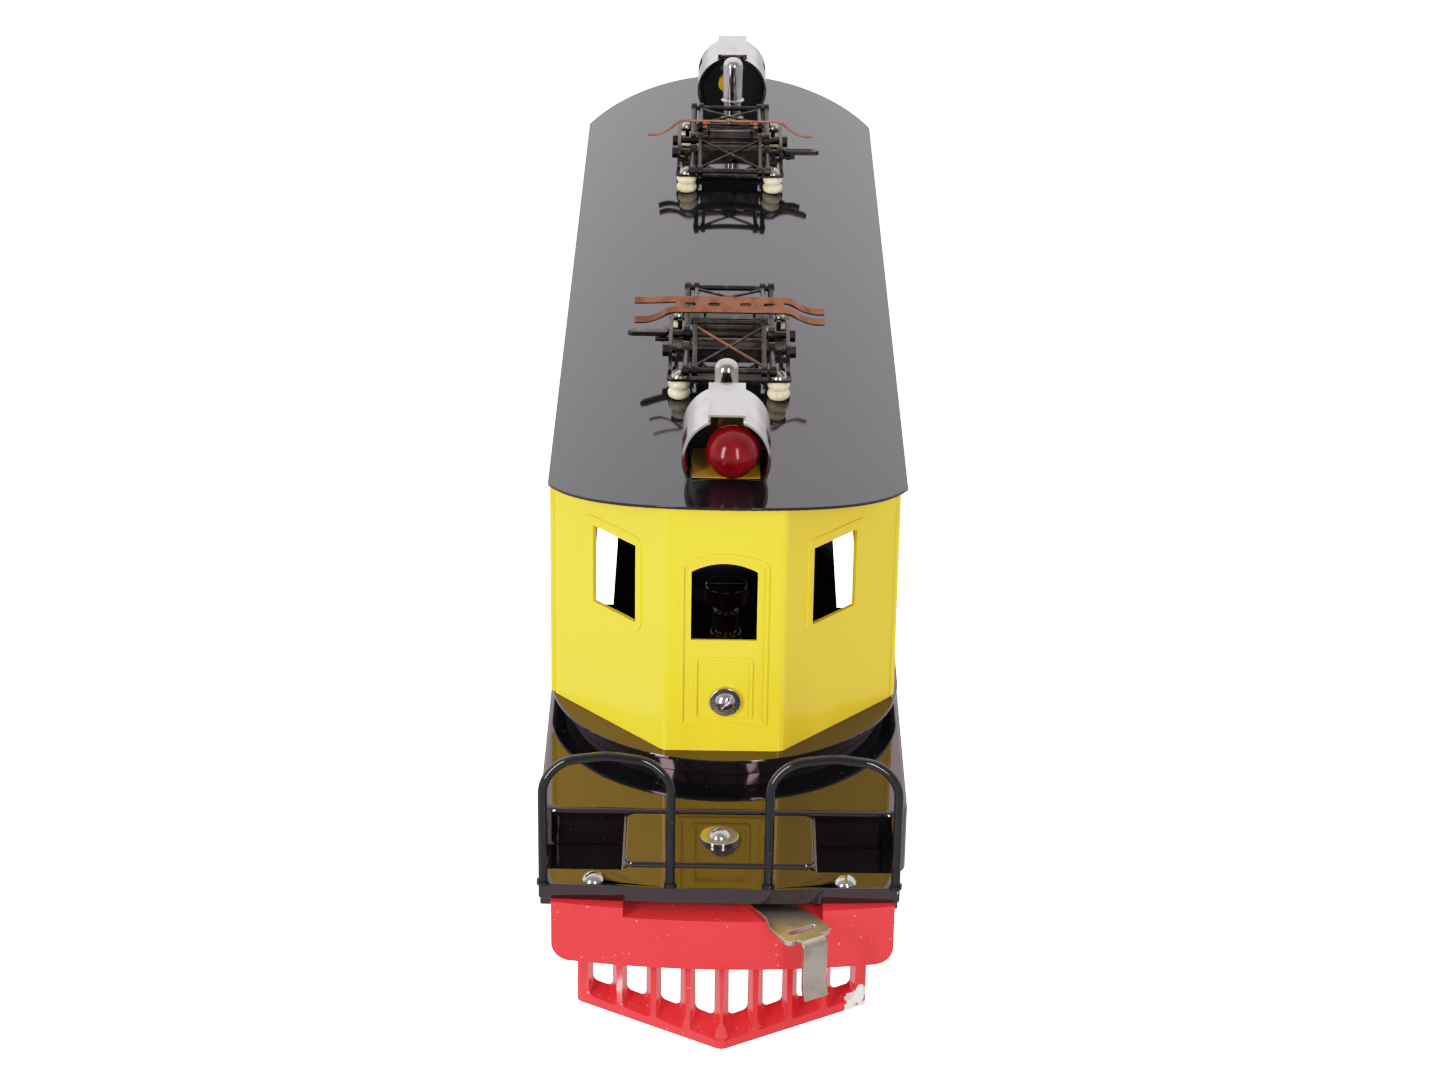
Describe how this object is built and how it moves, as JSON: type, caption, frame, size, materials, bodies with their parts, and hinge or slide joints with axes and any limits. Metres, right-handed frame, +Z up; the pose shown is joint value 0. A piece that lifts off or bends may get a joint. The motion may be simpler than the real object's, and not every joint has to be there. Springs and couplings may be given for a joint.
{
  "type": "model electric locomotive",
  "caption": "Double-ended model electric locomotive with sheet-metal cab, folding roof pantographs, cast pilots, latch couplers and geared motor.",
  "frame": {"origin": "centre of the footprint, on the plane that the wheel flanges stand on", "axes": "+Z up, -Y towards the front end, +X to the right of a person who looks at the front end"},
  "size_m": [0.097, 0.518, 0.1417],
  "materials": {
    "roof_black": "gloss enamel",
    "cab_yellow": "gloss enamel",
    "nickel": "polished nickel plate",
    "worn_nickel": "worn satin nickel plate",
    "blackened_steel": "blackened",
    "frame_black": "gloss enamel",
    "pilot_red": "gloss enamel on a casting",
    "disc_black": "gloss",
    "red_celluloid": "translucent",
    "red_glass": "red lacquered glass",
    "brass": "satin",
    "cream_ceramic": "glazed",
    "pantograph_black": "worn black",
    "copper": "oxidised copper",
    "truck_black": "semi-gloss",
    "wheel_iron": "cast with bright treads",
    "roller_steel": "worn bright",
    "steel": "satin",
    "fibre_board": "vulcanised fibre"
  },
  "bodies": {
    "body": {"cab_end_front": "cab_yellow", "cab_end_rear": "cab_yellow", "cab_screws": "nickel", "cab_side_left": "cab_yellow", "cab_side_right": "cab_yellow", "cab_studs": "blackened_steel", "coupler_posts": "nickel", "end_platform_front": "frame_black", "end_platform_rear": "frame_black", "floor_plate": "frame_black", "handrails_front": "frame_black", "handrails_rear": "frame_black", "headlight_backs": "disc_black", "headlight_front": "nickel", "headlight_rear": "nickel", "headlight_windows": "red_celluloid", "insulator_screws": "nickel", "insulators": "cream_ceramic", "lamp_bulbs": "red_glass", "lamp_sockets": "brass", "main_frame": "frame_black", "motor_frame": "truck_black", "pantograph_barrels": "blackened_steel", "pantograph_front_base": "pantograph_black", "pantograph_rear_base": "pantograph_black", "pickup_brackets": "fibre_board", "pilot_front": "pilot_red", "pilot_rear": "pilot_red", "pilot_screws": "nickel", "roof": "roof_black", "truck_pins": "steel", "whistles": "nickel"},
    "pantograph_front_lower_outer": {"pantograph_front_lower_outer": "pantograph_black"},
    "pantograph_front_lower_inner": {"pantograph_front_lower_inner": "pantograph_black"},
    "pantograph_front_upper_outer": {"pantograph_front_upper_outer": "pantograph_black"},
    "pantograph_front_upper_inner": {"pantograph_front_upper_inner": "pantograph_black"},
    "pantograph_front_head": {"pantograph_front_head": "pantograph_black"},
    "pantograph_front_shoe": {"pantograph_front_shoe": "copper"},
    "pantograph_front_lever": {"pantograph_front_lever": "pantograph_black"},
    "pantograph_rear_lower_outer": {"pantograph_rear_lower_outer": "pantograph_black"},
    "pantograph_rear_lower_inner": {"pantograph_rear_lower_inner": "pantograph_black"},
    "pantograph_rear_upper_outer": {"pantograph_rear_upper_outer": "pantograph_black"},
    "pantograph_rear_upper_inner": {"pantograph_rear_upper_inner": "pantograph_black"},
    "pantograph_rear_head": {"pantograph_rear_head": "pantograph_black"},
    "pantograph_rear_shoe": {"pantograph_rear_shoe": "copper"},
    "pantograph_rear_lever": {"pantograph_rear_lever": "pantograph_black"},
    "coupler_front": {"coupler_front": "worn_nickel"},
    "truck_front": {"truck_frame_front": "truck_black"},
    "truck_front_wheelset_1": {"truck_front_wheelset_1": "wheel_iron"},
    "truck_front_wheelset_2": {"truck_front_wheelset_2": "wheel_iron"},
    "pickup_roller_front": {"pickup_roller_front": "roller_steel"},
    "coupler_rear": {"coupler_rear": "worn_nickel"},
    "truck_rear": {"truck_frame_rear": "truck_black"},
    "truck_rear_wheelset_1": {"truck_rear_wheelset_1": "wheel_iron"},
    "truck_rear_wheelset_2": {"truck_rear_wheelset_2": "wheel_iron"},
    "pickup_roller_rear": {"pickup_roller_rear": "roller_steel"},
    "driver_front": {"driver_wheelset_front": "wheel_iron"},
    "driver_rear": {"driver_wheelset_rear": "wheel_iron"},
    "idler": {"idler_gear": "brass"},
    "armature": {"armature": "brass"}
  },
  "joints": [
    {"name": "pantograph_front_raise", "type": "hinge", "parent": "body", "child": "pantograph_front_lower_outer", "pos_m": [0, -0.09125, 0.1272], "axis": [-1, 0, 0], "range_deg": [0, 46.7]},
    {"name": "pantograph_front_inner_lower_pivot", "type": "hinge", "parent": "body", "child": "pantograph_front_lower_inner", "pos_m": [0, -0.07925, 0.1272], "axis": [-1, 0, 0], "range_deg": [-46.7, 0]},
    {"name": "pantograph_front_outer_knee", "type": "hinge", "parent": "pantograph_front_lower_outer", "child": "pantograph_front_upper_outer", "pos_m": [0, -0.11675, 0.13138], "axis": [-1, 0, 0], "range_deg": [-93.4, 0]},
    {"name": "pantograph_front_inner_knee", "type": "hinge", "parent": "pantograph_front_lower_inner", "child": "pantograph_front_upper_inner", "pos_m": [0, -0.05375, 0.13138], "axis": [-1, 0, 0], "range_deg": [0, 93.4]},
    {"name": "pantograph_front_head_pivot", "type": "hinge", "parent": "pantograph_front_upper_outer", "child": "pantograph_front_head", "pos_m": [0, -0.09125, 0.13555], "axis": [-1, 0, 0], "range_deg": [0, 46.7]},
    {"name": "pantograph_front_shoe_tilt", "type": "hinge", "parent": "pantograph_front_head", "child": "pantograph_front_shoe", "pos_m": [0, -0.08525, 0.13705], "axis": [1, 0, 0], "range_deg": [-58, 2]},
    {"name": "pantograph_front_lever_turn", "type": "hinge", "parent": "body", "child": "pantograph_front_lever", "pos_m": [-0.0188, -0.08335, 0.1284], "axis": [0, 0, 1], "range_deg": [-35, 35]},
    {"name": "pantograph_rear_raise", "type": "hinge", "parent": "body", "child": "pantograph_rear_lower_outer", "pos_m": [0, 0.09125, 0.1272], "axis": [1, 0, 0], "range_deg": [0, 50.3]},
    {"name": "pantograph_rear_inner_lower_pivot", "type": "hinge", "parent": "body", "child": "pantograph_rear_lower_inner", "pos_m": [0, 0.07925, 0.1272], "axis": [1, 0, 0], "range_deg": [-50.3, 0]},
    {"name": "pantograph_rear_outer_knee", "type": "hinge", "parent": "pantograph_rear_lower_outer", "child": "pantograph_rear_upper_outer", "pos_m": [0, 0.11696, 0.12977], "axis": [1, 0, 0], "range_deg": [-100.6, 0]},
    {"name": "pantograph_rear_inner_knee", "type": "hinge", "parent": "pantograph_rear_lower_inner", "child": "pantograph_rear_upper_inner", "pos_m": [0, 0.05354, 0.12977], "axis": [1, 0, 0], "range_deg": [0, 100.6]},
    {"name": "pantograph_rear_head_pivot", "type": "hinge", "parent": "pantograph_rear_upper_outer", "child": "pantograph_rear_head", "pos_m": [0, 0.09125, 0.13233], "axis": [1, 0, 0], "range_deg": [0, 50.3]},
    {"name": "pantograph_rear_shoe_tilt", "type": "hinge", "parent": "pantograph_rear_head", "child": "pantograph_rear_shoe", "pos_m": [0, 0.08525, 0.13383], "axis": [-1, 0, 0], "range_deg": [-50, 10]},
    {"name": "pantograph_rear_lever_turn", "type": "hinge", "parent": "body", "child": "pantograph_rear_lever", "pos_m": [0.0188, 0.07525, 0.1284], "axis": [0, 0, 1], "range_deg": [-35, 35]},
    {"name": "coupler_front_swing", "type": "hinge", "parent": "body", "child": "coupler_front", "pos_m": [-0.001, -0.21305, 0.0335], "axis": [0, 0, 1], "range_deg": [-62.6, 0]},
    {"name": "truck_front_swivel", "type": "hinge", "parent": "body", "child": "truck_front", "pos_m": [0, -0.128, 0.029], "axis": [0, 0, 1], "range_deg": [-12, 12]},
    {"name": "truck_front_axle_1_roll", "type": "hinge", "parent": "truck_front", "child": "truck_front_wheelset_1", "pos_m": [0, -0.151, 0.0155], "axis": [1, 0, 0], "continuous": true},
    {"name": "truck_front_axle_2_roll", "type": "hinge", "parent": "truck_front", "child": "truck_front_wheelset_2", "pos_m": [0, -0.105, 0.0155], "axis": [1, 0, 0], "continuous": true},
    {"name": "pickup_roller_front_spin", "type": "hinge", "parent": "body", "child": "pickup_roller_front", "pos_m": [0, -0.062, 0.0067], "axis": [1, 0, 0], "continuous": true},
    {"name": "coupler_rear_swing", "type": "hinge", "parent": "body", "child": "coupler_rear", "pos_m": [0.001, 0.21305, 0.0335], "axis": [0, 0, 1], "range_deg": [-62.6, 0]},
    {"name": "truck_rear_swivel", "type": "hinge", "parent": "body", "child": "truck_rear", "pos_m": [0, 0.128, 0.029], "axis": [0, 0, 1], "range_deg": [-12, 12]},
    {"name": "truck_rear_axle_1_roll", "type": "hinge", "parent": "truck_rear", "child": "truck_rear_wheelset_1", "pos_m": [0, 0.151, 0.0155], "axis": [1, 0, 0], "continuous": true},
    {"name": "truck_rear_axle_2_roll", "type": "hinge", "parent": "truck_rear", "child": "truck_rear_wheelset_2", "pos_m": [0, 0.105, 0.0155], "axis": [1, 0, 0], "continuous": true},
    {"name": "pickup_roller_rear_spin", "type": "hinge", "parent": "body", "child": "pickup_roller_rear", "pos_m": [0, 0.062, 0.0067], "axis": [1, 0, 0], "continuous": true},
    {"name": "driver_front_roll", "type": "hinge", "parent": "body", "child": "driver_front", "pos_m": [0, -0.032, 0.022], "axis": [1, 0, 0], "continuous": true},
    {"name": "driver_rear_roll", "type": "hinge", "parent": "body", "child": "driver_rear", "pos_m": [0, 0.032, 0.022], "axis": [1, 0, 0], "continuous": true},
    {"name": "idler_spin", "type": "hinge", "parent": "body", "child": "idler", "pos_m": [0, 0, 0.022], "axis": [1, 0, 0], "continuous": true},
    {"name": "armature_spin", "type": "hinge", "parent": "body", "child": "armature", "pos_m": [0, 0, 0.042], "axis": [1, 0, 0], "continuous": true}
  ],
  "couplings": [
    {"joint": "pantograph_front_inner_lower_pivot", "follows": "pantograph_front_raise", "ratio": -1},
    {"joint": "pantograph_front_outer_knee", "follows": "pantograph_front_raise", "ratio": -2},
    {"joint": "pantograph_front_inner_knee", "follows": "pantograph_front_raise", "ratio": 2},
    {"joint": "pantograph_front_head_pivot", "follows": "pantograph_front_raise", "ratio": 1},
    {"joint": "pantograph_rear_inner_lower_pivot", "follows": "pantograph_rear_raise", "ratio": -1},
    {"joint": "pantograph_rear_outer_knee", "follows": "pantograph_rear_raise", "ratio": -2},
    {"joint": "pantograph_rear_inner_knee", "follows": "pantograph_rear_raise", "ratio": 2},
    {"joint": "pantograph_rear_head_pivot", "follows": "pantograph_rear_raise", "ratio": 1},
    {"joint": "driver_rear_roll", "follows": "driver_front_roll", "ratio": 1},
    {"joint": "idler_spin", "follows": "driver_front_roll", "ratio": -1.2857},
    {"joint": "armature_spin", "follows": "driver_front_roll", "ratio": 3}
  ]
}
